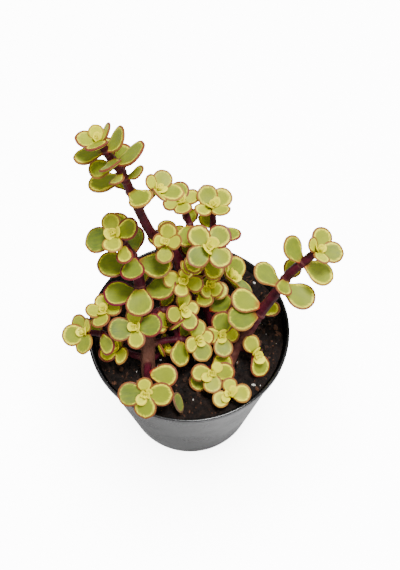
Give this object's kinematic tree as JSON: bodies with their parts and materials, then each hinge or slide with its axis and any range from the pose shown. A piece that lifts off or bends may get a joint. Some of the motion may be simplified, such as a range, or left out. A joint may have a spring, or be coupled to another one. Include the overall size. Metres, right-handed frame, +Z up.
{
  "type": "potted elephant bush",
  "caption": "Young elephant bush in a round tapered nursery pot: branching woody stems with fleshy round leaves in opposite pairs above a peat soil plug.",
  "frame": {"origin": "centre of the pot's flat underside", "axes": "+Z up out of the pot; -Y towards the viewer, so +X is the viewer's right"},
  "size_m": [0.1362, 0.105, 0.2179],
  "materials": {
    "leaf": "waxy satin",
    "stem": "smooth young bark",
    "pot": "glossy",
    "soil": "rough damp peat"
  },
  "bodies": {
    "root": {"leaf_fallen": "leaf", "leaves_back_low_tip": "leaf", "leaves_back_main_1": "leaf", "leaves_back_main_2": "leaf", "leaves_back_main_3": "leaf", "leaves_back_main_tip": "leaf", "leaves_back_upper_left_1": "leaf", "leaves_back_upper_left_tip": "leaf", "leaves_back_upper_right_1": "leaf", "leaves_back_upper_right_tip": "leaf", "leaves_left_crossing_1": "leaf", "leaves_left_crossing_tip": "leaf", "leaves_left_drooping_1": "leaf", "leaves_left_drooping_tip": "leaf", "leaves_left_front_tip": "leaf", "leaves_left_low_1": "leaf", "leaves_left_low_tip": "leaf", "leaves_left_lower_crossing_1": "leaf", "leaves_left_lower_crossing_tip": "leaf", "leaves_left_main_1": "leaf", "leaves_left_main_2": "leaf", "leaves_left_main_3": "leaf", "leaves_left_main_4": "leaf", "leaves_left_main_5": "leaf", "leaves_left_main_tip": "leaf", "leaves_left_under_tip": "leaf", "leaves_left_upturned_tip": "leaf", "leaves_middle_front_tip": "leaf", "leaves_middle_main_1": "leaf", "leaves_middle_main_tip": "leaf", "leaves_near_main_1": "leaf", "leaves_near_main_tip": "leaf", "leaves_right_main_1": "leaf", "leaves_right_main_2": "leaf", "leaves_right_main_3": "leaf", "leaves_right_main_4": "leaf", "leaves_right_main_5": "leaf", "leaves_right_main_tip": "leaf", "leaves_right_sprig_tip": "leaf", "leaves_small_main_tip": "leaf", "leaves_tall_main_1": "leaf", "leaves_tall_main_2": "leaf", "leaves_tall_main_3": "leaf", "leaves_tall_main_4": "leaf", "leaves_tall_main_5": "leaf", "leaves_tall_main_6": "leaf", "leaves_tall_main_tip": "leaf", "leaves_tall_middle_tip": "leaf", "leaves_tall_side_tip": "leaf", "pot": "pot", "soil": "soil", "stem_back": "stem", "stem_left": "stem", "stem_middle": "stem", "stem_near": "stem", "stem_right": "stem", "stem_small": "stem", "stem_tall": "stem"}
  },
  "joints": []
}
